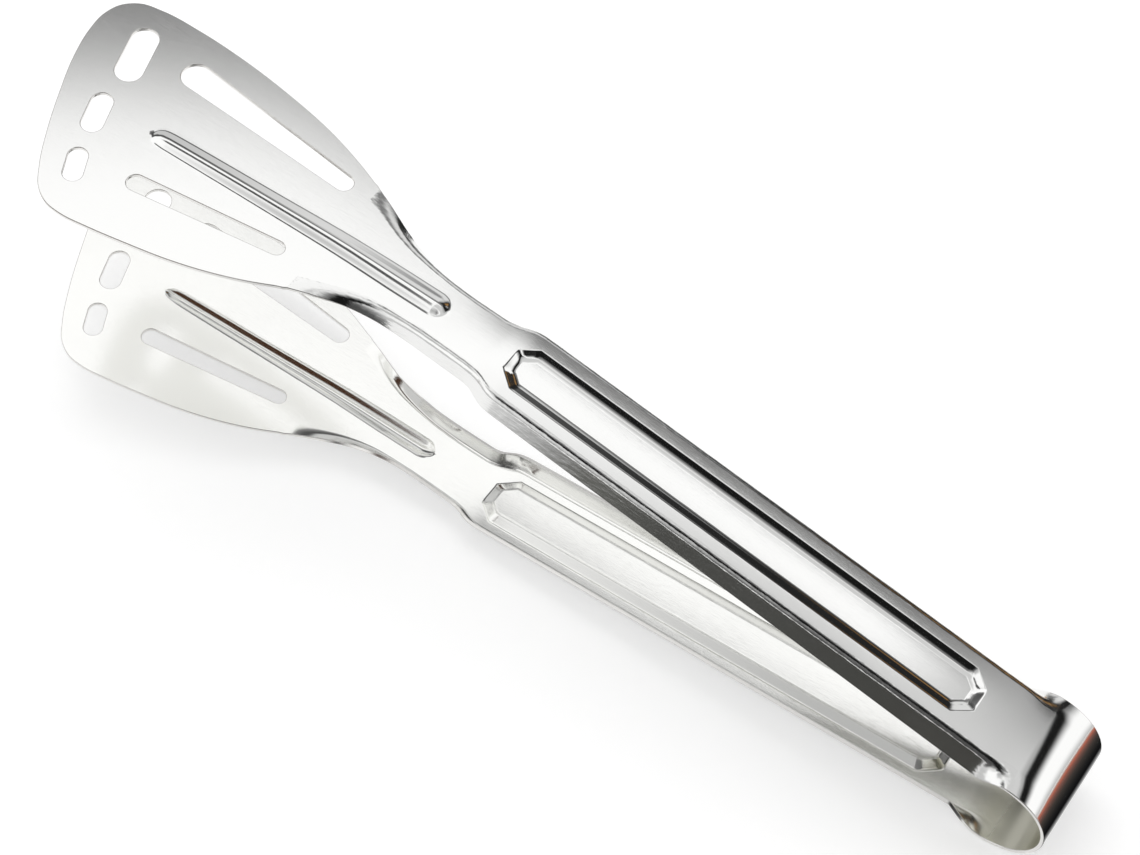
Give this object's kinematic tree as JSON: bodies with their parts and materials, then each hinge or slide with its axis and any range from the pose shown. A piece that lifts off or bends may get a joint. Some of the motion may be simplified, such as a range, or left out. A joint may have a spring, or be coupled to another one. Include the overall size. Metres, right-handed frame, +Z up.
{
  "type": "barbecue tongs",
  "caption": "Barbecue tongs pressed from a folded steel strip: slotted, ribbed spatula heads on flanged, panelled handles that spring open from a rounded bow.",
  "frame": {"origin": "middle of the bounding box's bottom, on the surface that the lower handle rests on", "axes": "+X along the tongs from the bow to the tips, +Y across them towards the shorter side of the slanted tips, +Z up from the lower arm to the upper arm"},
  "size_m": [0.2899, 0.0614, 0.0802],
  "materials": {
    "stamped_steel": "polished"
  },
  "bodies": {
    "lower_arm": {"lower_arm": "stamped_steel", "bow_lower_half": "stamped_steel"},
    "upper_arm": {"upper_arm": "stamped_steel", "bow_upper_half": "stamped_steel"}
  },
  "joints": [
    {"name": "bow_flex", "type": "hinge", "parent": "lower_arm", "child": "upper_arm", "pos_m": [-0.14385, -0.00165, 0.01295], "axis": [0, 1, 0], "range_deg": [0, 12.5], "stiffness_Nm_per_rad": 4, "springref_deg": -2.06}
  ]
}
